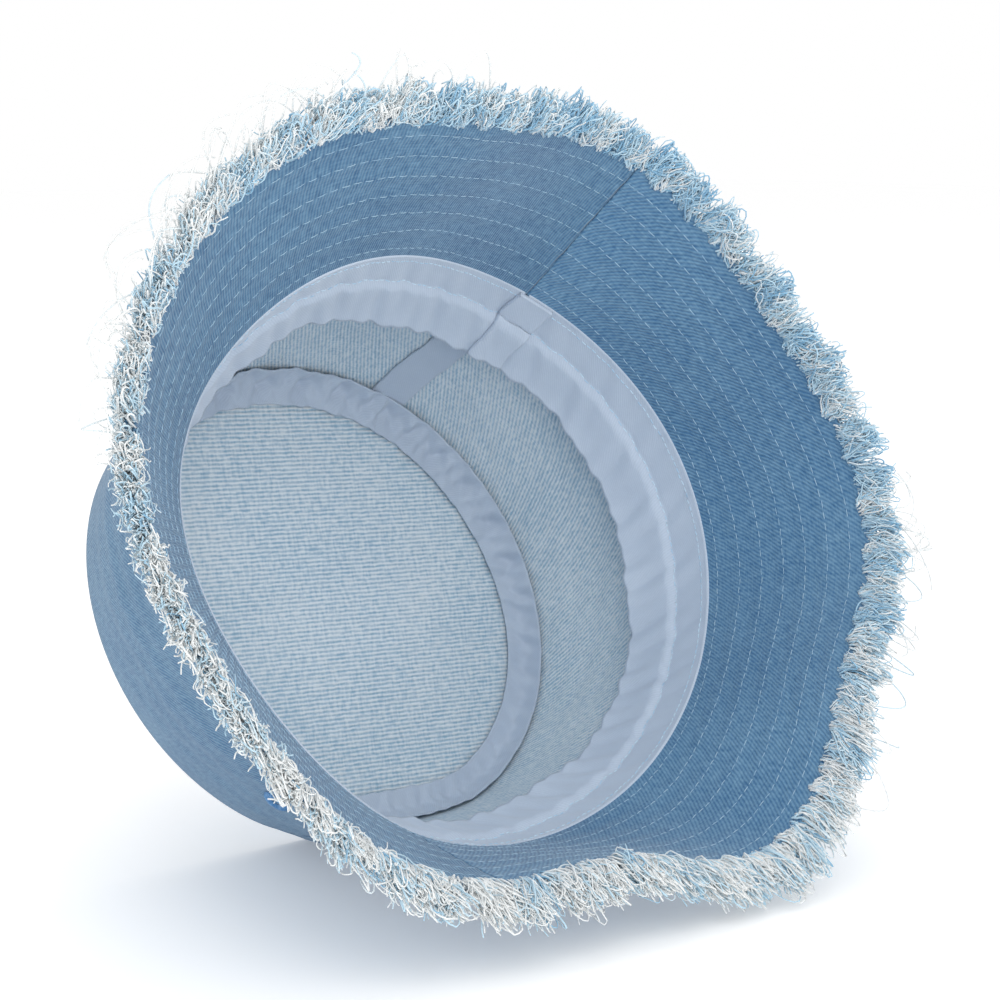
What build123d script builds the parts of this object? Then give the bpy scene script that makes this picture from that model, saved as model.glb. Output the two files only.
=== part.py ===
from build123d import *
import math
import os

# A frayed-brim denim bucket hat lying on its side: the floor is Z = 0, the opening faces -Y
# and a little up. Every shape is first given in the hat's own coordinates (side seam, front,
# out of the opening) and then laid on the floor. Millimetres and degrees.

# Overall sizes
HEAD_LONG = 99.5            # half the head oval, front to back
HEAD_SHORT = 84.0           # half the head oval, seam to seam
TOP_LONG = 86.5             # half the crown top oval, front to back
TOP_SHORT = 71.5            # half the crown top oval, seam to seam
CROWN_DEPTH = 91.0          # crown top to head opening
BRIM_WIDTH = 54.0           # brim from the head seam to the cut denim edge
FRAY_WIDTH = 10.0           # frayed yarns past the cut edge

# Fabric and clearances
DENIM = 0.9                 # one layer of denim
TWILL = 0.5                 # seam tape
BAND = 1.3                  # sweatband, twill folded double
THREAD = 0.4                # sewing thread, proud of the fabric
FRAY = 3.4                  # thickness of the frayed edge
PLY_GAP = 0.15              # between plies of the brim
SKIN_GAP = 0.2              # between a trim and the fabric that it is sewn to
SEAM_GAP = 0.3              # between pieces that meet edge to edge
FRAY_GAP = 0.9              # from the cut denim edge to the frayed yarns

# Trims
TAPE_WIDTH = 15.0
BAND_WIDTH = 29.0
BAND_LEAN = 6.0             # how far the band's free edge stands off the crown
FLAP_WIDTH = 12.0           # the band's overlap at the side seam
EYELET_HOLE = 1.6
EYELET_BARREL = 2.3
EYELET_RIM = 4.6
EYELET_LIP = 0.6
EYELET_DEPTH = 38.0         # from the head opening into the crown
EYELET_SPREAD = 24.0        # from the side seam
STITCH_ROWS = 7
WALL_START = 0.5            # crown wall's edge below the head seam
BRIM_START = 0.8            # brim's edge past the head seam
ROW_PITCH = 7.3
FIRST_ROW = 3.5

# How the hat lies
TILT = 14.6                 # the opening's axis above level
ROLL = 29.7                 # side seam from the top, towards +X
REST_HEIGHT = 99.0          # centre of the opening above the floor
SOFTNESS = 2.5              # how gently the cloth flattens against the floor
FRAY_DROOP = 7.0            # sag of the frayed yarns below the brim

# Waves: pairs of cosine and sine around the hat
OVAL_POWER = 1.92
OVAL_WAVES = ((2, 3.4, -2.7), (3, -1.7, -2.1), (4, -0.9, -0.8))
RIM_WAVES = ((2, 0.0, 4.9), (3, -2.9, 4.9), (4, -1.3, -1.5))
FLARE = 62.0
FLARE_WAVES = ((1, -2, -14), (2, 4, 2), (3, -3, -1), (4, 0, 2), (5, -2, -4), (6, -3, 1))
TOP_SHIFT = (-2.2, -14.1)   # the slack crown top, off the opening's centre
BULGE = 3.0                 # outward belly of the crown wall

AROUND = 37                 # samples around half the hat


def waves(terms, turn):
    return sum(c * math.cos(k * turn) + s * math.sin(k * turn) for k, c, s in terms)


def oval(short, long, turn):
    c, s = math.cos(turn), math.sin(turn)
    reach = (abs(c) ** OVAL_POWER + abs(s) ** OVAL_POWER) ** (-1 / OVAL_POWER)
    return Vector(short * reach * c, long * reach * s, 0)


def head_ring(turn):
    swell = 1 + waves(OVAL_WAVES, turn) / 90
    return oval(HEAD_SHORT, HEAD_LONG, turn) * swell + Vector(0, 0, waves(RIM_WAVES, turn))


def top_ring(turn):
    return oval(TOP_SHORT, TOP_LONG, turn) + Vector(*TOP_SHIFT, -CROWN_DEPTH)


def outward(turn):
    step = head_ring(turn + 0.01) - head_ring(turn - 0.01)
    return Vector(step.Y, -step.X, 0).normalized()


def flatten(point):
    """Press a point that would sink into the floor back up within the opening's plane."""
    tilt, roll = math.radians(TILT), math.radians(ROLL)
    rise = point.X * math.cos(roll) + point.Y * math.sin(roll)
    height = REST_HEIGHT + rise * math.cos(tilt) + point.Z * math.sin(tilt)
    lifted = SOFTNESS * math.log1p(math.exp(-abs(height) / SOFTNESS)) + max(height, 0)
    lift = (lifted - height) / math.cos(tilt)
    return point + Vector(math.cos(roll), math.sin(roll), 0) * lift


def lie(point):
    """Hat coordinates to the frame in which the hat lies on the floor."""
    tilt, roll = math.radians(TILT), math.radians(ROLL)
    across = point.X * math.sin(roll) - point.Y * math.cos(roll)
    rise = point.X * math.cos(roll) + point.Y * math.sin(roll)
    return Vector(
        across,
        rise * math.sin(tilt) - point.Z * math.cos(tilt),
        rise * math.cos(tilt) + point.Z * math.sin(tilt),
    )


def wall(turn, depth):
    """Crown wall, depth measured from the head opening into the crown."""
    share = depth / CROWN_DEPTH
    belly = outward(turn) * (BULGE * math.sin(math.pi * share))
    return flatten(head_ring(turn) * (1 - share) + top_ring(turn) * share + belly)


def brim(turn, reach):
    """Brim, reach measured from the head seam."""
    flare = math.radians(FLARE + waves(FLARE_WAVES, turn))
    rise = Vector(0, 0, math.sin(flare))
    return flatten(head_ring(turn) + (outward(turn) * math.cos(flare) + rise) * reach)


def frayed(turn, reach):
    """Yarns past the cut edge, sagging where they hang clear of the floor."""
    share = max(reach - BRIM_WIDTH, 0) / FRAY_WIDTH
    roll = math.radians(ROLL)
    down = Vector(-math.cos(roll), -math.sin(roll), 0)
    below = max(outward(turn).dot(down), 0)
    flare = math.radians(FLARE + waves(FLARE_WAVES, turn))
    rise = Vector(0, 0, math.sin(flare))
    point = head_ring(turn) + (outward(turn) * math.cos(flare) + rise) * reach
    return flatten(point + down * (FRAY_DROOP * below * share))


def normal_of(surface, turn, across):
    along = surface(turn + 0.01, across) - surface(turn - 0.01, across)
    over = surface(turn, across + 0.2) - surface(turn, across - 0.2)
    return along.cross(over).normalized()


def ply(surface, start, end, near, far, offset, thick, around=AROUND, over=6):
    """A closed solid of one layer of cloth on a surface, between two turns and two reaches."""
    skins = []
    for side in (-thick / 2, thick / 2):
        grid = []
        for i in range(around):
            turn = start + (end - start) * i / (around - 1)
            row = []
            for j in range(over):
                across = near + (far - near) * j / (over - 1)
                lift = normal_of(surface, turn, across) * (offset + side)
                row.append(lie(surface(turn, across) + lift))
            grid.append(row)
        skins.append(Face.make_surface_from_array_of_points(grid, tol=0.02, max_deg=5))
    low, high = (ordered_edges(skin) for skin in skins)
    rims = [Face.make_surface_from_curves(a, b) for a, b in zip(low, high)]
    return Solid(Shell(skins + rims))


def ordered_edges(skin):
    """The four edges of a skin, matched by their middle points on both skins."""
    corners = [skin.position_at(u, v) for u, v in ((0, 0.5), (1, 0.5), (0.5, 0), (0.5, 1))]
    return [min(skin.edges(), key=lambda edge: (edge @ 0.5 - mid).length) for mid in corners]


def crown_top():
    inset = DENIM / 2 + SEAM_GAP
    rim = [lie(wall(math.radians(t), CROWN_DEPTH) - outward(math.radians(t)) * inset)
           for t in range(0, 360, 10)]
    outline = Edge.make_spline(rim, periodic=True)
    disc = Face(Wire([outline]))
    out = lie(Vector(0, 0, 1))
    return Solid.extrude(disc, out * DENIM)


def tape_path(turn, across):
    """Inside of the top seam: on the crown top, round the seam and up the wall."""
    half = TAPE_WIDTH / 2
    corner = 2.5
    inner = DENIM / 2 + SKIN_GAP + TWILL / 2
    if across <= 0:
        inset = -across
        rise = DENIM + SKIN_GAP + TWILL / 2
    else:
        inset = 0
        rise = DENIM + SKIN_GAP + TWILL / 2 + across
    round_off = corner * math.exp(-abs(across) / corner)
    base = wall(turn, CROWN_DEPTH - rise) - outward(turn) * (inner + inset)
    return base + (Vector(0, 0, 1) - outward(turn)) * (round_off * half / (2 * half))


def band_path(turn, depth):
    lean = 2.2 + BAND_LEAN * (depth / BAND_WIDTH) ** 1.3
    return wall(turn, depth) - outward(turn) * lean


def half_turns(side):
    gap = SEAM_GAP / HEAD_SHORT / 2
    return (gap, math.pi - gap) if side == "front" else (math.pi + gap, 2 * math.pi - gap)


def eyelet_place(seam, hand):
    turn = seam + hand * EYELET_SPREAD / HEAD_LONG
    point = wall(turn, EYELET_DEPTH)
    axis = normal_of(wall, turn, EYELET_DEPTH)
    return Plane(origin=lie(point), z_dir=lie(axis))


def eyelet(plane):
    """Thread-bound hole: a barrel through the wall with a lip on each face."""
    proud = DENIM / 2 + SKIN_GAP
    top = proud + EYELET_LIP
    barrel = Solid.make_cylinder(EYELET_BARREL, 2 * top, plane.offset(-top))
    outer = Solid.make_cylinder(EYELET_RIM, EYELET_LIP, plane.offset(proud))
    inner = Solid.make_cylinder(EYELET_RIM, EYELET_LIP, plane.offset(-top))
    hole = Solid.make_cylinder(EYELET_HOLE, 4 * top, plane.offset(-2 * top))
    return (barrel + outer + inner) - hole


def build():
    pieces = {}
    holes = [eyelet_place(seam, hand) for seam in (0, math.pi) for hand in (1, -1)]
    ply_step = DENIM + PLY_GAP
    face_lift = DENIM / 2 + SKIN_GAP + THREAD / 2
    pieces["crown_top"] = [crown_top()]
    for side in ("front", "back"):
        start, end = half_turns(side)
        panel = ply(wall, start, end, WALL_START, CROWN_DEPTH, 0, DENIM)
        for plane in holes:
            panel = panel - Solid.make_cylinder(
                EYELET_BARREL + SEAM_GAP / 3, 8 * DENIM, plane.offset(-4 * DENIM))
        pieces["crown_side_" + side] = [panel.solids()[0]]
        for name, level in (("under_brim_", 1), ("brim_interlining_", 0), ("upper_brim_", -1)):
            pieces[name + side] = [
                ply(brim, start, end, BRIM_START, BRIM_WIDTH, -level * ply_step, DENIM)]
        for name, level in (("under_brim_stitching_", -1), ("upper_brim_stitching_", 1)):
            offset = level * (ply_step + face_lift)
            rows = []
            for row in range(STITCH_ROWS):
                reach = FIRST_ROW + row * ROW_PITCH
                rows.append(ply(brim, start, end, reach, reach + THREAD, offset, THREAD, 31, 3))
            pieces[name + side] = rows
        pieces["frayed_edge_" + side] = [
            ply(frayed, start, end, BRIM_WIDTH + FRAY_GAP, BRIM_WIDTH + FRAY_WIDTH, 0, FRAY)]
    lap = FLAP_WIDTH / HEAD_LONG
    full = 2 * math.pi
    pieces["sweatband"] = [ply(band_path, 0.01, full - 0.01, 1.0, BAND_WIDTH, 0, BAND, 73)]
    pieces["sweatband_overlap"] = [
        ply(band_path, -lap, 0.02, 1.0, BAND_WIDTH, BAND + SKIN_GAP, BAND, 9)]
    half_tape = TAPE_WIDTH / 2
    pieces["top_seam_tape"] = [
        ply(tape_path, 0.02, full - 0.02, -half_tape, half_tape, 0, TWILL, 73, 9)]
    for name, seam in (("right_side_seam_tape", 0), ("left_side_seam_tape", math.pi)):
        reach = half_tape / HEAD_LONG
        inside = DENIM / 2 + SKIN_GAP + TWILL / 2
        pieces[name] = [ply(wall, seam - reach, seam + reach, 3.0,
                            CROWN_DEPTH - half_tape - 4, inside, TWILL, 7)]
    names = ("right_front_eyelet", "right_back_eyelet", "left_back_eyelet", "left_front_eyelet")
    for name, plane in zip(names, holes):
        pieces[name] = [eyelet(plane)]
    return pieces


def centred(pieces):
    """Put the origin under the middle of the whole hat, at floor level."""
    boxes = [s.bounding_box() for group in pieces.values() for s in group]
    low = [min(tuple(b.min)[i] for b in boxes) for i in range(3)]
    high = [max(tuple(b.max)[i] for b in boxes) for i in range(3)]
    shift = Location((-(low[0] + high[0]) / 2, -(low[1] + high[1]) / 2, -low[2]))
    return {name: [s.moved(shift) for s in group] for name, group in pieces.items()}


os.makedirs("parts", exist_ok=True)
for node, solids in centred(build()).items():
    export_step(Compound(solids), f"parts/{node}.step")
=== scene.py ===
import math

import bpy
import numpy as np
from mathutils import Matrix, Vector


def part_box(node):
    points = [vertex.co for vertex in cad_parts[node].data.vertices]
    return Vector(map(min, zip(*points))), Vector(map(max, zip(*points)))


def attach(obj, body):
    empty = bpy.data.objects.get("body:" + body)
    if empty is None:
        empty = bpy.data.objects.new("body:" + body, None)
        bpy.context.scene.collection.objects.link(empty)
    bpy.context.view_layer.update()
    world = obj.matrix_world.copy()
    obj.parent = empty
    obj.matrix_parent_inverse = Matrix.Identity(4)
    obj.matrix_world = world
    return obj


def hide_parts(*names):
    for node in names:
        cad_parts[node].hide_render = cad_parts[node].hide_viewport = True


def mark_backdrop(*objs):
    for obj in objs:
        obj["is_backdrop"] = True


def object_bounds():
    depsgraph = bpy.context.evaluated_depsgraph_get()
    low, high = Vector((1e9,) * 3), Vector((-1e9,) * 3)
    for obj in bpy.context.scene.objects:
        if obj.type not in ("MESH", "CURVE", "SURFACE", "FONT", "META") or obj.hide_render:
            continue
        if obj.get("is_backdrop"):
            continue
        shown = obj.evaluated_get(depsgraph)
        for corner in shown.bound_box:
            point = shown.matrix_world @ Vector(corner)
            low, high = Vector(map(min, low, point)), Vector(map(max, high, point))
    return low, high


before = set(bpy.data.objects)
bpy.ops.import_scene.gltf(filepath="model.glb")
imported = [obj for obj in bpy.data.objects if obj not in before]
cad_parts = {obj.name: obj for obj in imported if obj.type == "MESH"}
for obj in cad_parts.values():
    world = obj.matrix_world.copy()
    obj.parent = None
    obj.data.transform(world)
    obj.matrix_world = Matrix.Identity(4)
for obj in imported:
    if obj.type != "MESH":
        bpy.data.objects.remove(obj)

bl_info = {
    "name": "Frayed denim bucket hat",
    "version": (1, 0, 0),
    "blender": (4, 5, 0),
    "location": "3D View > Sidebar > Hat",
    "description": "Builds the cloth, seams, stitching and frayed yarns of a bucket hat",
    "category": "Object",
}

MM = 0.001
FULL = 2 * math.pi

# The hat's own sizes in millimetres, as in its construction
HEAD_LONG, HEAD_SHORT = 99.5, 84.0
TOP_LONG, TOP_SHORT = 86.5, 71.5
CROWN_DEPTH, BRIM_WIDTH, FRAY_WIDTH = 91.0, 54.0, 10.0
DENIM, TWILL, BAND = 0.9, 0.5, 1.3
PLY_STEP = 1.05             # from one ply of the brim to the next
SKIN_GAP = 0.02             # between the two skins of one denim layer
TAPE_GAP = 0.2              # between a tape and the denim
TAPE_HUMP = 0.9             # how far the top tape stands off between stitches
RIM_INSET = DENIM / 2 + 0.3  # crown top inside the crown wall
TAPE_WIDTH, BAND_WIDTH, FLAP_WIDTH = 15.0, 29.0, 12.0
BAND_LEAN = 6.0
EYELET_DEPTH, EYELET_SPREAD = 38.0, 24.0
STITCH_ROWS, ROW_PITCH, FIRST_ROW = 7, 7.3, 3.5
TILT, ROLL = math.radians(14.6), math.radians(29.7)
REST_HEIGHT, SOFTNESS, FRAY_DROOP = 99.0, 2.5, 7.0
FRAY_PARTS = 4              # pieces of frayed edge on each half
HALF_BRIM = 118             # mean radius of the cut edge
MEAN_HEAD = 0.5 * (HEAD_LONG + HEAD_SHORT)
FLOOR_CLEAR = 0.0004        # lowest yarn above the floor, in metres
DENT = 1.1                  # depth of the crown's soft dents
QUILT = 0.12                # depth of the brim's stitched valleys
BRIM_SWELL = 0.35           # height of the brim's uneven swells
RIDGE_DEPTH = 13            # the band's middle stitch row
BAND_EDGE_ROW = 2.0
TAPE_ROWS = (-4.6, 5.6)
OVAL_POWER = 1.92
OVAL_WAVES = ((2, 3.4, -2.7), (3, -1.7, -2.1), (4, -0.9, -0.8))
RIM_WAVES = ((2, 0.0, 4.9), (3, -2.9, 4.9), (4, -1.3, -1.5))
FLARE = 62.0
FLARE_WAVES = ((1, -2, -14), (2, 4, 2), (3, -3, -1), (4, 0, 2), (5, -2, -4), (6, -3, 1))
TOP_SHIFT = (-2.2, -14.1)
BULGE = 3.0


# ---- the hat's shape, for arrays of turns and reaches ----

def waves(terms, turn):
    return sum(c * np.cos(k * turn) + s * np.sin(k * turn) for k, c, s in terms)


def point(x, y, z):
    return np.stack(np.broadcast_arrays(x, y, z), axis=-1).astype(float)


def unit(vectors):
    return vectors / np.maximum(np.linalg.norm(vectors, axis=-1, keepdims=True), 1e-12)


def oval(short, long, turn):
    c, s = np.cos(turn), np.sin(turn)
    reach = (np.abs(c) ** OVAL_POWER + np.abs(s) ** OVAL_POWER) ** (-1 / OVAL_POWER)
    return point(short * reach * c, long * reach * s, 0)


def head_ring(turn):
    swell = 1 + waves(OVAL_WAVES, turn) / 90
    lift = point(0, 0, waves(RIM_WAVES, turn))
    return oval(HEAD_SHORT, HEAD_LONG, turn) * swell[..., None] + lift


def top_ring(turn):
    return oval(TOP_SHORT, TOP_LONG, turn) + np.array([*TOP_SHIFT, -CROWN_DEPTH])


def outward(turn):
    step = head_ring(turn + 0.01) - head_ring(turn - 0.01)
    return unit(point(step[..., 1], -step[..., 0], 0))


def flatten(p):
    """Press what would sink into the floor back up within the opening's plane."""
    rise = p[..., 0] * math.cos(ROLL) + p[..., 1] * math.sin(ROLL)
    height = REST_HEIGHT + rise * math.cos(TILT) + p[..., 2] * math.sin(TILT)
    soft = np.log1p(np.exp(-np.abs(height) / SOFTNESS))
    lift = (SOFTNESS * soft + np.maximum(height, 0) - height) / math.cos(TILT)
    return p + lift[..., None] * np.array([math.cos(ROLL), math.sin(ROLL), 0])


def lie(p):
    """Hat coordinates to the lying frame, in millimetres, before the final shift."""
    across = p[..., 0] * math.sin(ROLL) - p[..., 1] * math.cos(ROLL)
    rise = p[..., 0] * math.cos(ROLL) + p[..., 1] * math.sin(ROLL)
    z = p[..., 2]
    return point(across, rise * math.sin(TILT) - z * math.cos(TILT),
                 rise * math.cos(TILT) + z * math.sin(TILT))


def ripple(turn, across, size):
    """Small uneven swells of sewn cloth, the same at both ends of a turn."""
    slow = np.sin(9 * turn + 0.11 * across + 1.3) * np.sin(5 * turn - 0.05 * across)
    quick = np.sin(31 * turn + 0.35 * across) * np.sin(17 * turn - 0.21 * across + 2)
    return size * (0.7 * slow + 0.3 * quick)


def wall(turn, depth):
    share = depth / CROWN_DEPTH
    belly = outward(turn) * (BULGE * np.sin(np.pi * share))[..., None]
    share = share[..., None]
    return flatten(head_ring(turn) * (1 - share) + top_ring(turn) * share + belly)


def worn_wall(turn, depth):
    """The crown wall with soft dents, fading out at its seams."""
    fade = np.clip(np.sin(np.pi * np.clip(depth / CROWN_DEPTH, 0, 1)), 0, 1)
    dent = ripple(turn, depth, DENT) * fade
    return wall(turn, depth) + outward(turn) * dent[..., None]


def brim(turn, reach):
    flare = np.radians(FLARE + waves(FLARE_WAVES, turn))
    slope = outward(turn) * np.cos(flare)[..., None] + point(0, 0, np.sin(flare))
    return flatten(head_ring(turn) + slope * reach[..., None])


def quilted_brim(turn, reach):
    """The brim with shallow valleys along its stitch rows."""
    row = (reach - FIRST_ROW) / ROW_PITCH
    valley = -QUILT * np.cos(FULL * row) + ripple(turn, reach, BRIM_SWELL)
    fade = np.clip(reach / 6, 0, 1)
    return brim(turn, reach) + outward(turn) * (valley * fade)[..., None]


def frayed(turn, reach):
    share = np.maximum(reach - BRIM_WIDTH, 0) / FRAY_WIDTH
    down = np.array([-math.cos(ROLL), -math.sin(ROLL), 0])
    below = np.maximum(outward(turn) @ down, 0)
    flare = np.radians(FLARE + waves(FLARE_WAVES, turn))
    slope = outward(turn) * np.cos(flare)[..., None] + point(0, 0, np.sin(flare))
    sag = (FRAY_DROOP * below * share)[..., None] * down
    return flatten(head_ring(turn) + slope * reach[..., None] + sag)


def tape_path(turn, across):
    inner = DENIM / 2 + TAPE_GAP + TWILL / 2
    inset = np.maximum(-across, 0)
    rise = DENIM + TAPE_GAP + TWILL / 2 + np.maximum(across, 0)
    bend = 1.25 * np.exp(-np.abs(across) / 2.5)
    gather = 0.6 + 0.8 * np.clip(np.cos(turn - 0.1), 0, 1)
    pucker = gather * (0.8 * np.sin(58 * turn + 0.35 * across + 2 * np.sin(5 * turn)) *
                       np.sin(17 * turn + 1) + 0.7 * np.sin(29 * turn - 0.2 * across) ** 3)
    pucker = pucker * np.cos(across / 7)
    base = wall(turn, CROWN_DEPTH - rise) - outward(turn) * (inner + inset)[..., None]
    lift = np.array([0, 0, 1.0]) - outward(turn)
    return base + lift * (bend + TAPE_HUMP * (1.0 + pucker))[..., None]


def band_path(turn, depth):
    """The sweatband: flat at its seam, wavy and rolled at its free edge."""
    share = np.clip(depth / BAND_WIDTH, 0, 1)
    wave = (np.sin(5 * turn + 0.6) + 0.6 * np.sin(11 * turn + 2) + 0.3 * np.sin(19 * turn)) * share**2
    pucker = 0.7 * np.sin(52 * turn + 0.3 * depth) * np.sin(13 * turn + 1) * np.sqrt(share)
    ridge = 0.9 * np.tanh((depth - RIDGE_DEPTH) / 0.9) - 0.7 * np.exp(-(depth - RIDGE_DEPTH) ** 2)
    roll = 1.2 * share**8
    lean = 2.0 + BAND_LEAN * share**1.2 + 0.9 * wave + pucker + ridge + roll
    return wall(turn, depth) - outward(turn) * lean[..., None]


def normal_of(surface, turn, across):
    along = surface(turn + 0.004, across) - surface(turn - 0.004, across)
    over = surface(turn, across + 0.15) - surface(turn, across - 0.15)
    return unit(np.cross(along, over))


def on(surface, turn, across, lift=0.0):
    """Points on a surface in the frame, in metres."""
    turn, across = np.broadcast_arrays(np.asarray(turn, float), np.asarray(across, float))
    p = surface(turn, across)
    if np.any(lift):
        p = p + normal_of(surface, turn, across) * np.broadcast_to(lift, turn.shape)[..., None]
    return lie(p) * MM + SHIFT


def find_shift():
    """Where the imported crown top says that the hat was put."""
    turn = np.radians(np.arange(0, 360, 10.0))
    rim = wall(turn, np.full_like(turn, CROWN_DEPTH)) - outward(turn) * RIM_INSET
    both = np.concatenate([lie(rim), lie(rim + np.array([0, 0, DENIM]))]) * MM
    low, high = (np.array(corner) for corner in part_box("crown_top"))
    return (low + high) / 2 - (both.min(0) + both.max(0)) / 2


SHIFT = find_shift()


# ---- meshes ----

def add_mesh(name, verts, faces, uvs=None):
    """A smooth mesh with one UV pair for each vertex."""
    mesh = bpy.data.meshes.new(name)
    mesh.from_pydata(verts.tolist(), [], faces.tolist())
    if uvs is not None:
        layer = mesh.uv_layers.new(name="UVMap")
        layer.data.foreach_set("uv", uvs[faces.reshape(-1)].reshape(-1))
    mesh.polygons.foreach_set("use_smooth", [True] * len(mesh.polygons))
    mesh.update()
    obj = bpy.data.objects.new(name, mesh)
    bpy.context.scene.collection.objects.link(obj)
    return obj


def cloth(name, surface, start, end, near, far, offset, thick, cells):
    """A closed layer of cloth: two skins of a grid and a rim round them."""
    around, over = cells
    turn, across = np.meshgrid(np.linspace(start, end, around),
                               np.linspace(near, far, over), indexing="ij")
    skins = [on(surface, turn, across, offset + side * thick / 2).reshape(-1, 3) for side in (-1, 1)]
    uv = np.stack([turn.reshape(-1) * HEAD_LONG, across.reshape(-1)], axis=1) * MM
    index = np.arange(around * over).reshape(around, over)
    quad = np.stack([index[:-1, :-1], index[1:, :-1], index[1:, 1:], index[:-1, 1:]], -1)
    quad = quad.reshape(-1, 4)
    count = around * over
    loop = np.concatenate([index[:, 0], index[-1, 1:], index[-2::-1, -1], index[0, -2:0:-1]])
    after = np.roll(loop, -1)
    rim = np.stack([after, loop, loop + count, after + count], axis=1)
    faces = np.concatenate([quad[:, ::-1], quad + count, rim[:, ::-1]])
    return add_mesh(name, np.concatenate(skins), faces, np.concatenate([uv, uv]))


def tubes(name, paths, radius, shade, sides=4):
    """Many thin tubes in one mesh: paths is (tubes, points, 3), radius the same without the 3."""
    count, steps, _ = paths.shape
    run = unit(np.gradient(paths, axis=1))
    side = unit(np.cross(run, np.array([0.31, 0.52, 0.79])))
    other = np.cross(run, side)
    angle = np.arange(sides) * FULL / sides
    ring = side[:, :, None] * np.cos(angle)[:, None] + other[:, :, None] * np.sin(angle)[:, None]
    verts = paths[:, :, None] + ring * radius[:, :, None, None]
    index = np.arange(count * steps * sides).reshape(count, steps, sides)
    turned = np.roll(index, -1, axis=2)
    faces = np.stack([index[:, :-1], turned[:, :-1], turned[:, 1:], index[:, 1:]], -1).reshape(-1, 4)
    if sides == 4:
        ends = np.concatenate([index[:, 0, ::-1], index[:, -1]])
        faces = np.concatenate([faces, ends])
    along = np.broadcast_to(np.linspace(0, 1, steps)[None, :, None], index.shape)
    tone = np.broadcast_to(shade[:, None, None], index.shape)
    uvs = np.stack([tone.reshape(-1), along.reshape(-1)], axis=1)
    return add_mesh(name, verts.reshape(-1, 3), faces, uvs)


# ---- shader maths ----

class Sum:
    """A number in a material: Python's operators add Math nodes."""

    def __init__(self, tree, socket):
        self.tree, self.socket = tree, socket

    def math(self, kind, *others, swap=False):
        node = self.tree.nodes.new("ShaderNodeMath")
        node.operation = kind
        values = [self, *others]
        if swap:
            values.reverse()
        for slot, value in zip(node.inputs, values):
            if isinstance(value, Sum):
                self.tree.links.new(value.socket, slot)
            else:
                slot.default_value = value
        return Sum(self.tree, node.outputs[0])

    def __add__(self, other):
        return self.math("ADD", other)

    def __sub__(self, other):
        return self.math("SUBTRACT", other)

    def __mul__(self, other):
        return self.math("MULTIPLY", other)

    def __truediv__(self, other):
        return self.math("DIVIDE", other)

    def __radd__(self, other):
        return self.math("ADD", other)

    def __rsub__(self, other):
        return self.math("SUBTRACT", other, swap=True)

    def __rmul__(self, other):
        return self.math("MULTIPLY", other)

    def sine(self):
        return self.math("SINE")

    def clamp(self):
        made = self.math("ADD", 0.0)
        made.socket.node.use_clamp = True
        return made


class Paint:
    """One material being written, with its shader."""

    def __init__(self, name, roughness=0.85, sheen=0.25):
        self.material = bpy.data.materials.new(name)
        self.material.use_nodes = True
        self.tree = self.material.node_tree
        self.tree.nodes.clear()
        self.shader = self.node("ShaderNodeBsdfPrincipled", {}, {
            "Roughness": roughness, "Sheen Weight": sheen, "Specular IOR Level": 0.2})
        output = self.node("ShaderNodeOutputMaterial")
        self.link(self.shader.outputs["BSDF"], output.inputs["Surface"])

    def link(self, a, b):
        self.tree.links.new(a.socket if isinstance(a, Sum) else a, b)

    def node(self, kind, settings=None, values=None):
        made = self.tree.nodes.new(kind)
        for key, value in (settings or {}).items():
            setattr(made, key, value)
        for key, value in (values or {}).items():
            if isinstance(value, (Sum, bpy.types.NodeSocket)):
                self.link(value, made.inputs[key])
            else:
                made.inputs[key].default_value = value
        return made

    def uv(self):
        parts = self.node("ShaderNodeSeparateXYZ", {}, {
            "Vector": self.node("ShaderNodeUVMap", {"uv_map": "UVMap"}).outputs["UV"]})
        return Sum(self.tree, parts.outputs["X"]), Sum(self.tree, parts.outputs["Y"])

    def vector(self, x, y, z=0.0):
        return self.node("ShaderNodeCombineXYZ", {}, {"X": x, "Y": y, "Z": z}).outputs[0]

    def noise(self, vector, scale, detail=2.0):
        made = self.node("ShaderNodeTexNoise", {}, {
            "Vector": vector, "Scale": scale, "Detail": detail})
        return Sum(self.tree, made.outputs["Fac"])

    def mix(self, factor, a, b):
        made = self.node("ShaderNodeMix", {"data_type": "RGBA"}, {"Factor": factor})
        for slot, value in ((made.inputs[6], a), (made.inputs[7], b)):
            if isinstance(value, bpy.types.NodeSocket):
                self.link(value, slot)
            else:
                slot.default_value = (*value, 1.0)
        return made.outputs[2]

    def finish(self, colour, height=None, strength=0.5, distance=0.0003):
        self.link(colour, self.shader.inputs["Base Color"])
        if height is not None:
            bump = self.node("ShaderNodeBump", {}, {
                "Height": height, "Strength": strength, "Distance": distance})
            self.link(bump.outputs["Normal"], self.shader.inputs["Normal"])
        return self.material


def twill_lines(paint, u, v, pitch, slope):
    """Diagonal twill lines from 0 to 1, slightly uneven."""
    drift = paint.noise(paint.vector(u, v), 350.0) * 2.4
    run = u * math.sin(slope) + v * math.cos(slope)
    return (run * (FULL / pitch) + drift).sine() * 0.5 + 0.5


def denim(name, deep, pale, pitch, slope, contrast, fleck):
    """Twill-woven denim: dyed warp lines, pale weft flecks, and worn patches."""
    paint = Paint(name)
    u, v = paint.uv()
    lines = twill_lines(paint, u, v, pitch, slope)
    slub = paint.noise(paint.vector(u * 900.0, v * 260.0), 1.0, 1.0)
    weft = paint.noise(paint.vector(u * 300.0, v * 1500.0), 1.0, 1.0)
    worn = paint.noise(paint.vector(u, v), 28.0, 3.0)
    pale_part = lines * contrast + (slub - 0.5) * fleck + (weft - 0.5) * fleck + (worn - 0.5) * 0.55
    height = lines + slub * 0.6 + weft * 0.6
    return paint.finish(paint.mix((pale_part + 0.2).clamp(), deep, pale), height, 0.55)


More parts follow.
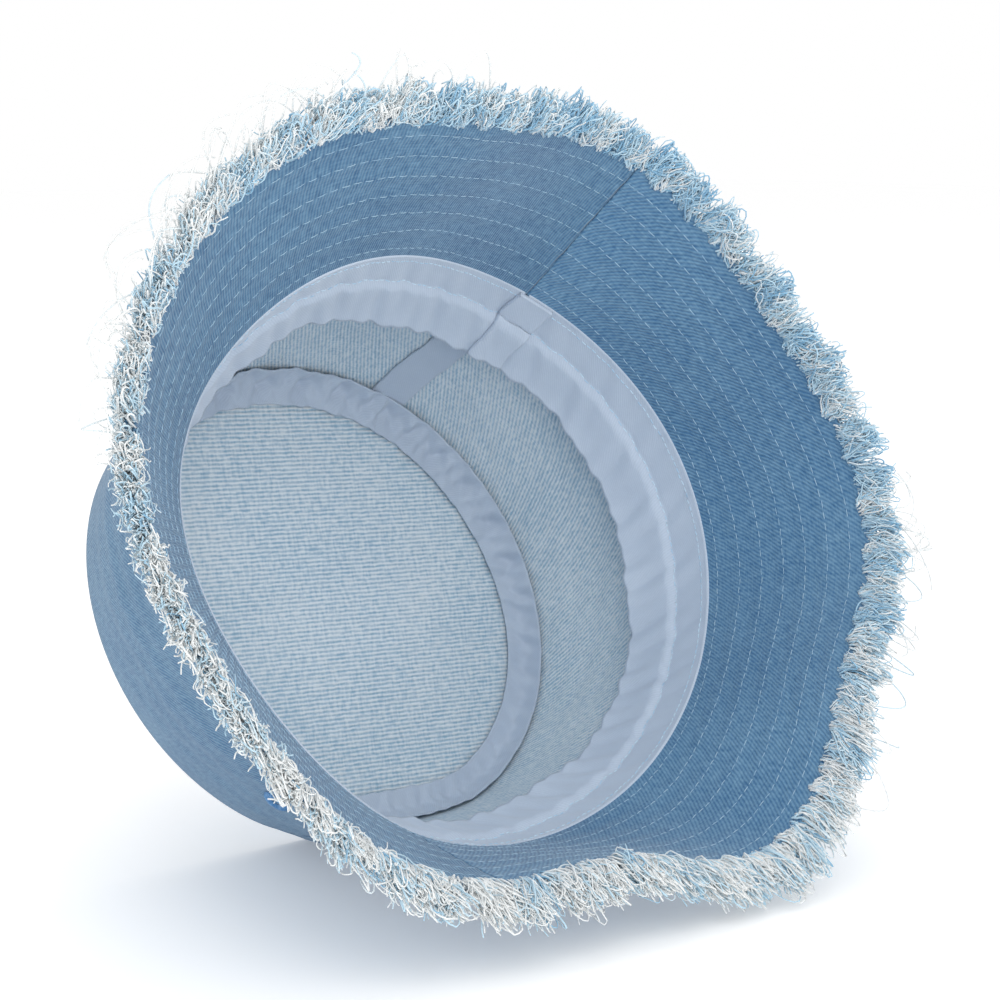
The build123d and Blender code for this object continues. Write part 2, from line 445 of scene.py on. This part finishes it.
def twill(name, deep, pale):
    """Fine cotton twill of the tape and band."""
    paint = Paint(name, 0.8, 0.3)
    u, v = paint.uv()
    lines = twill_lines(paint, u, v, 0.0007, 0.75)
    soft = paint.noise(paint.vector(u, v), 60.0, 3.0)
    grain = paint.noise(paint.vector(u * 1500.0, v * 1500.0), 1.0, 1.0)
    mixed = (lines * 0.3 + soft * 0.5 + grain * 0.3 - 0.1).clamp()
    return paint.finish(paint.mix(mixed, deep, pale), lines + grain, 0.3, 0.00015)


def yarn(name, first, second, third):
    """Spun yarn in three dyes, chosen by each yarn's own tone, with bands of painted shade where its
    twisted plies meet.
    """
    paint = Paint(name, 0.9, 0.4)
    tone, along = paint.uv()
    white = (tone * 6.0 - 2.7).clamp()
    blue = (tone * 8.0 - 1.2).clamp()
    # darker bands along each yarn, towards 0.8 of the second dye: painted shade in the grooves between its
    # twisted plies
    ply_shade = (along * 90.0 + tone * 40.0).sine() * 0.12 + 0.12
    body = paint.mix(white, paint.mix(blue, third, second), first)
    shaded = paint.mix(ply_shade, body, tuple(0.8 * c for c in second))
    return paint.finish(shaded)


# ---- pieces ----

def settings():
    return bpy.context.scene.hat_settings


def settle(obj, material, nodes=()):
    """Material, body and CAD nodes of one piece."""
    obj.data.materials.append(material)
    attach(obj, "root")
    if nodes:
        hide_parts(*nodes)
    return obj


def material(name):
    """The named material, made on first use."""
    found = bpy.data.materials.get(name)
    if found:
        return found
    s = settings()
    deep, pale = tuple(s.denim_deep), tuple(s.denim_pale)
    makers = {
        "denim face": lambda: denim("denim face", deep, pale, 0.00112, 0.9, 0.42, 0.85),
        # front under-brim: twill cut another way, and its dyed denim darkened to 0.86 as painted shade on
        # the half of the brim that lies mostly on top
        "denim face front painted shade": lambda: denim(
            "denim face front painted shade", tuple(0.86 * c for c in deep), pale, 0.0009, 1.5, 0.34, 0.8),
        "denim reverse": lambda: denim(
            "denim reverse", tuple(s.reverse_deep), tuple(s.reverse_pale), 0.00135, 0.95, 0.8, 1.1),
        "denim top reverse": lambda: denim(
            "denim top reverse", tuple(s.reverse_deep), tuple(s.reverse_pale), 0.00135, 0.05, 0.8, 1.1),
        "cotton twill": lambda: twill("cotton twill", tuple(s.twill_deep), tuple(s.twill_pale)),
        "frayed yarn": lambda: yarn(
            "frayed yarn", tuple(s.yarn_white), tuple(s.yarn_light), tuple(s.yarn_mid)),
        "band thread": lambda: yarn(
            "band thread", (0.62, 0.78, 0.9), (0.5, 0.7, 0.86), (0.42, 0.62, 0.8)),
        "sewing thread": lambda: yarn(
            "sewing thread", (0.42, 0.6, 0.74), (0.36, 0.54, 0.7), (0.3, 0.48, 0.65)),
        "eyelet thread": lambda: yarn(
            "eyelet thread", (0.13, 0.33, 0.62), (0.1, 0.29, 0.57), (0.08, 0.24, 0.5)),
    }
    return makers[name]()


def sides():
    gap = 0.15 / HEAD_SHORT
    return (("front", gap, math.pi - gap), ("back", math.pi + gap, FULL - gap))


def disc(name, offset, thick):
    """The crown top: rings from its middle to its rim."""
    around, rings = 180, 30
    turn = np.linspace(0, FULL, around, endpoint=False)
    rim = wall(turn, np.full_like(turn, CROWN_DEPTH)) - outward(turn) * RIM_INSET
    middle = rim.mean(0)
    share = np.linspace(0.0, 1.0, rings + 1)[1:]
    flat = middle + (rim - middle)[None] * share[:, None, None]
    x, y = flat[..., 0], flat[..., 1]
    swell = DENT * np.sin(0.06 * x + 0.035 * y) * np.sin(0.045 * y + 1) * (1 - share[:, None] ** 2)
    flat[..., 2] += swell + offset
    middle = middle + np.array([0, 0, offset])
    layers = []
    for side in (0, thick):
        layers.append(np.concatenate([middle[None], flat.reshape(-1, 3)]) + np.array([0, 0, side]))
    count = len(layers[0])
    index = 1 + np.arange(rings * around).reshape(rings, around)
    turned = np.roll(index, -1, axis=1)
    quads = np.stack([index[:-1], index[1:], turned[1:], turned[:-1]], -1).reshape(-1, 4)
    fans = np.stack([np.zeros(around, int), index[0], turned[0]], 1)
    rim_faces = np.stack([index[-1], index[-1] + count, turned[-1] + count, turned[-1]], 1)
    faces = [*(quads[:, ::-1]).tolist(), *(quads + count).tolist(), *(rim_faces[:, ::-1]).tolist(),
             *(fans[:, ::-1]).tolist(), *(fans + count).tolist()]
    both = np.concatenate(layers)
    across = both[:, 0] * math.sin(ROLL) - both[:, 1] * math.cos(ROLL)
    rise = both[:, 0] * math.cos(ROLL) + both[:, 1] * math.sin(ROLL)
    mesh = bpy.data.meshes.new(name)
    mesh.from_pydata((lie(both) * MM + SHIFT).tolist(), [], faces)
    layer = mesh.uv_layers.new(name="UVMap")
    corners = np.array([c for face in faces for c in face])
    layer.data.foreach_set("uv", (np.stack([across, rise], 1) * MM)[corners].reshape(-1))
    mesh.polygons.foreach_set("use_smooth", [True] * len(mesh.polygons))
    obj = bpy.data.objects.new(name, mesh)
    bpy.context.scene.collection.objects.link(obj)
    return obj


class HAT_OT_crown(bpy.types.Operator):
    """Crown top and the two halves of the crown side, face and reverse"""
    bl_idname = "hat.crown"
    bl_label = "Crown"

    def execute(self, context):
        half = DENIM / 2
        inner = disc("crown_top_reverse", half, half)
        outer = disc("crown_top_face", 0.0, half - SKIN_GAP)
        settle(inner, material("denim top reverse"), ["crown_top"])
        settle(outer, material("denim face"))
        for side, start, end in sides():
            inside = cloth("crown_side_reverse_" + side, worn_wall, start, end, 0.5, CROWN_DEPTH,
                           half / 2, half, (260, 60))
            face = cloth("crown_side_face_" + side, worn_wall, start, end, 0.5, CROWN_DEPTH,
                         -half / 2 - SKIN_GAP, half, (260, 60))
            settle(inside, material("denim reverse"), ["crown_side_" + side])
            settle(face, material("denim face"))
        return {"FINISHED"}


class HAT_OT_brim(bpy.types.Operator):
    """Under-brim, interlining and upper brim, front and back"""
    bl_idname = "hat.brim"
    bl_label = "Brim"

    def execute(self, context):
        for side, start, end in sides():
            # the front under-brim gets its denim darkened as painted shade
            face = "denim face front painted shade" if side == "front" else "denim face"
            layers = (("under_brim_", -1, face, "denim_face"),
                      ("brim_interlining_", 0, "denim reverse", "denim_reverse"),
                      ("upper_brim_", 1, "denim face", "denim_face"))
            for name, level, finish, slot in layers:
                obj = cloth(name + "cloth_" + side, quilted_brim, start, end, -0.6, BRIM_WIDTH,
                            level * PLY_STEP, DENIM, (420, 90))
                settle(obj, material(finish), [name + side])
        return {"FINISHED"}


class HAT_OT_band(bpy.types.Operator):
    """Sweatband and its overlap at the side seam"""
    bl_idname = "hat.band"
    bl_label = "Sweatband"

    def execute(self, context):
        band = cloth("sweatband_cloth", band_path, 0.01, FULL - 0.01, -0.9, BAND_WIDTH, 0, BAND,
                     (900, 40))
        settle(band, material("cotton twill"), ["sweatband"])
        lap = cloth("sweatband_overlap_cloth", band_path, -FLAP_WIDTH / HEAD_LONG, 0.03, -0.6,
                    BAND_WIDTH - 0.6, BAND + 0.1, BAND, (40, 40))
        settle(lap, material("cotton twill"), ["sweatband_overlap"])
        return {"FINISHED"}


class HAT_OT_tapes(bpy.types.Operator):
    """Puckered tape over the top seam and flat tapes over the side seams"""
    bl_idname = "hat.tapes"
    bl_label = "Seam tapes"

    def execute(self, context):
        half = TAPE_WIDTH / 2
        top = cloth("top_seam_tape_cloth", tape_path, 0.0, FULL, -half, half, 0, TWILL,
                    (1200, 24))
        settle(top, material("cotton twill"), ["top_seam_tape"])
        for name, seam in (("right", 0.0), ("left", math.pi)):
            reach = half / HEAD_LONG
            tape = cloth(name + "_side_tape_cloth", worn_wall, seam - reach, seam + reach, 3.0,
                         CROWN_DEPTH - half + 1, DENIM / 2 + 0.6, TWILL, (24, 90))
            settle(tape, material("cotton twill"), [name + "_side_seam_tape"])
        return {"FINISHED"}


def stitch_row(surface, start, end, across, pitch, lift, rng, length=2.2, hand=1):
    """The thread paths of one row: each stitch rises from the cloth and dips back in."""
    span = (end - start) * MEAN_HEAD
    count = max(int(span / pitch), 1)
    first = start + (np.arange(count) + 0.5) * (end - start) / count
    half = 0.5 * length / MEAN_HEAD
    steps = np.linspace(-1, 1, 5)
    turn = first[:, None] + steps * half + rng.normal(0, 0.0006, (count, 1))
    drift = across + rng.normal(0, 0.07, (count, 1)) + steps * rng.normal(0, 0.06, (count, 1))
    height = lift + hand * (0.22 * (1 - steps**2) - 0.1)
    return on(surface, turn, drift, np.broadcast_to(height, turn.shape))


def add_stitches(name, rows, radius, nodes, rng, thread="sewing thread"):
    paths = np.concatenate(rows)
    radii = np.full(paths.shape[:2], radius * MM)
    obj = tubes(name, paths, radii, rng.uniform(0, 1, len(paths)))
    return settle(obj, material(thread), nodes)


class HAT_OT_stitching(bpy.types.Operator):
    """Rows of single stitches on the brim, band and tapes"""
    bl_idname = "hat.stitching"
    bl_label = "Stitching"

    def execute(self, context):
        rng = np.random.default_rng(11)
        lift = PLY_STEP + DENIM / 2
        for side, start, end in sides():
            for name, hand in (("under_brim_stitching_", -1), ("upper_brim_stitching_", 1)):
                rows = []
                for row in range(STITCH_ROWS):
                    reach = FIRST_ROW + row * ROW_PITCH
                    rows.append(
                        stitch_row(quilted_brim, start, end, reach, 3.0, hand * lift, rng, 2.2, hand))
                add_stitches(name + "threads_" + side, rows, 0.115, [name + side], rng)
        band = [stitch_row(band_path, 0.02, FULL - 0.02, BAND_EDGE_ROW, 2.1, BAND / 2, rng, 1.6),
                stitch_row(band_path, 0.02, FULL - 0.02, RIDGE_DEPTH, 2.4, BAND / 2, rng, 1.7)]
        add_stitches("sweatband_stitches", band, 0.17, [], rng, "band thread")
        tape = [stitch_row(tape_path, 0.03, FULL - 0.03, reach, 2.6, TWILL / 2, rng, 1.9)
                for reach in TAPE_ROWS]
        add_stitches("top_tape_stitches", tape, 0.16, [], rng, "band thread")
        return {"FINISHED"}


class HAT_OT_eyelets(bpy.types.Operator):
    """Embroidered eyelets: a ring of tight radial stitches on each face"""
    bl_idname = "hat.eyelets"
    bl_label = "Eyelets"

    def execute(self, context):
        rng = np.random.default_rng(5)
        names = ("right_front_eyelet", "right_back_eyelet", "left_back_eyelet", "left_front_eyelet")
        places = [(seam, hand) for seam in (0.0, math.pi) for hand in (1, -1)]
        for name, (seam, hand) in zip(names, places):
            turn = seam + hand * EYELET_SPREAD / HEAD_LONG
            wraps = []
            angle = np.linspace(0, FULL, 70, endpoint=False)[:, None]
            lap = np.linspace(0, 1, 7)[None]
            for face in (1, -1):
                reach = 1.7 + 2.6 * lap + rng.normal(0, 0.12, (70, 1)) * lap
                height = face * (DENIM / 2 + 0.1 + 0.75 * np.sin(math.pi * lap))
                around = turn + reach * np.cos(angle) / HEAD_LONG
                down = EYELET_DEPTH + reach * np.sin(angle)
                wraps.append(on(worn_wall, around, down, height + 0 * reach))
            paths = np.concatenate(wraps)
            radii = np.full(paths.shape[:2], 0.19 * MM)
            ring = tubes(name + "_threads", paths, radii, rng.uniform(0, 1, len(paths)))
            settle(ring, material("eyelet thread"), [name])
        return {"FINISHED"}


def fray_yarns(start, end, count, rng):
    """Short crinkled yarns along the cut edge, in clumps: some stand out, some loop back."""
    turn = rng.uniform(start, end, count)
    turn = turn + 0.012 * np.sin(88 * turn + 3 * np.sin(7 * turn))
    clump = np.sin(53 * turn + 2 * np.sin(9 * turn)) + 0.7 * np.sin(97 * turn + 1)
    swing = rng.normal(0, 1, count)
    lean = 3.0 * clump + 2.6 * swing
    length = rng.uniform(4.5, 9.5, count) + 1.6 * np.sin(41 * turn) * np.sin(13 * turn)
    steps = np.linspace(0, 1, 9)
    looped = (rng.random(count) < 0.25)[:, None]
    out = np.where(looped, 1.15 * np.sin(2.5 * steps), steps)
    phase = rng.uniform(0, FULL, (count, 2, 1))
    speed = rng.uniform(3, 9, (count, 2, 1))
    size = rng.uniform(0.25, 0.75, (count, 2, 1))
    crinkle = size * (np.sin(speed * steps + phase) - np.sin(phase)) * np.minimum(steps * 3, 1)
    first = BRIM_WIDTH + rng.uniform(-2.6, 0.4, count) - 0.7 * clump
    reach = first[:, None] + length[:, None] * out + 0.6 * crinkle[:, 0]
    around = turn[:, None] + (lean[:, None] * steps + crinkle[:, 1]) / HALF_BRIM
    bow = rng.normal(0, 1.5, count)[:, None]
    rest = rng.choice([-1, 1], count)[:, None] * rng.uniform(1.0, 2.2, count)[:, None]
    height = rest + bow * steps + crinkle[:, 0]
    reach = np.minimum(reach, BRIM_WIDTH + FRAY_WIDTH + 1.5)
    paths = on(frayed, around, reach, height)
    paths[..., 2] = np.maximum(paths[..., 2], FLOOR_CLEAR)
    radii = rng.uniform(0.2, 0.33, count)[:, None] * (1 - 0.35 * steps) * MM
    pale = 0.16 * np.cos(turn - 2.9) + 0.16 * np.sin(37 * turn + 2 * np.sin(11 * turn))
    shade = np.clip(0.52 + pale + rng.normal(0, 0.2, count), 0.0, 1.0)
    return paths, radii, shade


def loose_threads(count, rng):
    """Long pulled threads, in the stretches where the edge is most worn."""
    spots = np.array([0.9, 1.1, 1.3, 1.55, 1.75, 4.6, 4.9, 5.2])
    turn = rng.choice(spots, count) + rng.normal(0, 0.09, count)
    steps = np.linspace(0, 1, 24)
    length = rng.uniform(10, 17, count)[:, None]
    sweep = rng.uniform(-24, 24, count)[:, None]
    wave = np.sin(steps * rng.uniform(2, 6, count)[:, None] + rng.uniform(0, 6, count)[:, None])
    rise = np.sin(math.pi * steps * rng.uniform(0.5, 1.0, count)[:, None])
    around = turn[:, None] + (sweep * steps + 1.8 * wave) / HALF_BRIM
    reach = BRIM_WIDTH + 1 + length * rise
    height = rng.uniform(1, 11, count)[:, None] * rise + 1.2 * wave
    paths = on(frayed, around, reach, height)
    paths[..., 2] = np.maximum(paths[..., 2], FLOOR_CLEAR)
    radii = np.full((count, 24), 0.24 * MM)
    return paths, radii, rng.uniform(0.5, 1.0, count)


class HAT_OT_fraying(bpy.types.Operator):
    """Thousands of frayed yarns round the brim and the long loose threads"""
    bl_idname = "hat.fraying"
    bl_label = "Fraying"

    def execute(self, context):
        amount = settings().yarns
        rng = np.random.default_rng(23)
        for side, start, end in sides():
            ends = np.linspace(start, end, FRAY_PARTS + 1)
            for part, (a, b) in enumerate(zip(ends, ends[1:])):
                paths, radii, shade = fray_yarns(a, b, amount // (2 * FRAY_PARTS), rng)
                obj = tubes(f"frayed_yarns_{side}_{part}", paths, radii, shade)
                nodes = ["frayed_edge_" + side] if part == 0 else []
                settle(obj, material("frayed yarn"), nodes)
        paths, radii, shade = loose_threads(90, rng)
        obj = tubes("loose_threads", paths, radii, shade)
        settle(obj, material("frayed yarn"))
        return {"FINISHED"}


def add_area(name, spot, aim, size, power):
    data = bpy.data.lights.new(name, "AREA")
    data.shape = "RECTANGLE"
    data.size = data.size_y = size
    data.energy = power
    light = bpy.data.objects.new(name, data)
    light.location = spot
    light.rotation_euler = (Vector(aim) - Vector(spot)).to_track_quat("-Z", "Y").to_euler()
    bpy.context.scene.collection.objects.link(light)
    return light


class HAT_OT_stage(bpy.types.Operator):
    """White floor, soft studio light and the camera"""
    bl_idname = "hat.stage"
    bl_label = "Stage"

    def execute(self, context):
        scene = context.scene
        scene.view_settings.view_transform = "Standard"
        world = bpy.data.worlds.new("studio")
        scene.world = world
        world.use_nodes = True
        tree = world.node_tree
        tree.nodes.clear()
        path = tree.nodes.new("ShaderNodeLightPath")
        back = tree.nodes.new("ShaderNodeBackground")
        back.inputs["Color"].default_value = (1, 1, 1, 1)
        strength = Sum(tree, path.outputs["Is Camera Ray"]) * 0.18 + 0.82
        tree.links.new(strength.socket, back.inputs["Strength"])
        output = tree.nodes.new("ShaderNodeOutputWorld")
        tree.links.new(back.outputs[0], output.inputs[0])
        reach = 6.0
        corners = np.array([[-reach, -reach, 0], [reach, -reach, 0], [reach, reach, 0],
                            [-reach, reach, 0.0]])
        floor = add_mesh("floor", corners, np.array([[0, 1, 2, 3]]), corners[:, :2])
        paint = Paint("floor white", 0.9, 0.0)
        u, v = paint.uv()
        tone = paint.noise(paint.vector(u, v), 3.0) * 0.02
        paint.shader.inputs["Emission Color"].default_value = (1, 1, 1, 1)
        paint.shader.inputs["Emission Strength"].default_value = 0.2
        floor.data.materials.append(paint.finish(paint.mix(tone.clamp(), (0.97,) * 3, (0.96,) * 3)))
        aim = (0, 0, 0.08)
        lights = [add_area("key", (-0.9, -1.3, 1.6), aim, 1.2, 9),
                  add_area("fill", (1.3, -1.2, 1.0), aim, 1.4, 2.5),
                  add_area("top", (0.1, 0.4, 1.9), aim, 1.6, 5),
              add_area("front", (-0.55, -0.9, 0.35), aim, 0.5, 2.2)]
        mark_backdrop(floor, *lights)
        low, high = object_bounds()
        turn, rise = math.radians(settings().azimuth), math.radians(settings().elevation)
        back_way = Vector((math.sin(turn) * math.cos(rise), -math.cos(turn) * math.cos(rise),
                           math.sin(rise)))
        right = Vector((math.cos(turn), math.sin(turn), 0))
        up = back_way.cross(right)
        centre = Vector(SHIFT.tolist()) + right * 0.0085 + up * 0.0128
        data = bpy.data.cameras.new("camera")
        data.lens, data.sensor_width = 100, 36
        camera = bpy.data.objects.new("camera", data)
        turned = Matrix((right, up, back_way)).transposed()
        camera.matrix_world = Matrix.Translation(centre + back_way * settings().distance) @ turned.to_4x4()
        scene.collection.objects.link(camera)
        scene.camera = camera
        return {"FINISHED"}


def colour(name, value):
    return bpy.props.FloatVectorProperty(
        name=name, description=name + ", linear", size=3, min=0, max=1, default=value, subtype="COLOR")


class HAT_settings(bpy.types.PropertyGroup):
    """Sizes and colours of the hat"""
    yarns: bpy.props.IntProperty(
        name="Yarns", description="Frayed yarns round the brim", default=17000, min=400)
    azimuth: bpy.props.FloatProperty(
        name="Azimuth", description="Camera round the hat, in degrees", default=-41.5)
    elevation: bpy.props.FloatProperty(
        name="Elevation", description="Camera above the horizon, in degrees", default=8.0)
    distance: bpy.props.FloatProperty(
        name="Distance", description="Camera from the hat", default=0.7995, unit="LENGTH")
    denim_deep: colour("Dyed denim", (0.048, 0.145, 0.285))
    denim_pale: colour("Worn denim", (0.19, 0.345, 0.49))
    reverse_deep: colour("Reverse, blue yarn", (0.29, 0.46, 0.60))
    reverse_pale: colour("Reverse, white yarn", (0.76, 0.82, 0.86))
    twill_deep: colour("Twill, shaded", (0.44, 0.52, 0.64))
    twill_pale: colour("Twill, light", (0.58, 0.66, 0.76))
    yarn_white: colour("Undyed yarn", (0.9, 0.9, 0.885))
    yarn_light: colour("Light blue yarn", (0.52, 0.72, 0.84))
    yarn_mid: colour("Blue yarn", (0.24, 0.48, 0.68))


class HAT_PT_panel(bpy.types.Panel):
    """The hat's sizes, colours and steps"""
    bl_idname = "HAT_PT_panel"
    bl_label = "Bucket hat"
    bl_space_type = "VIEW_3D"
    bl_region_type = "UI"
    bl_category = "Hat"

    def draw(self, context):
        for name in HAT_settings.__annotations__:
            self.layout.prop(context.scene.hat_settings, name)
        for step in OPERATORS:
            self.layout.operator(step.bl_idname)


OPERATORS = (HAT_OT_crown, HAT_OT_brim, HAT_OT_band, HAT_OT_tapes, HAT_OT_stitching,
             HAT_OT_eyelets, HAT_OT_fraying, HAT_OT_stage)
CLASSES = (HAT_settings, *OPERATORS, HAT_PT_panel)


def register():
    for item in CLASSES:
        bpy.utils.register_class(item)
    bpy.types.Scene.hat_settings = bpy.props.PointerProperty(type=HAT_settings)


def unregister():
    del bpy.types.Scene.hat_settings
    for item in reversed(CLASSES):
        bpy.utils.unregister_class(item)


def corners():
    return [list(map(float, corner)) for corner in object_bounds()]


def main():
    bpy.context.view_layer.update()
    register()
    for step in ("crown", "brim", "band", "tapes", "stitching", "eyelets", "fraying", "stage"):
        if getattr(bpy.ops.hat, step)() != {"FINISHED"}:
            raise RuntimeError(step)


if __name__ == "__main__":
    main()
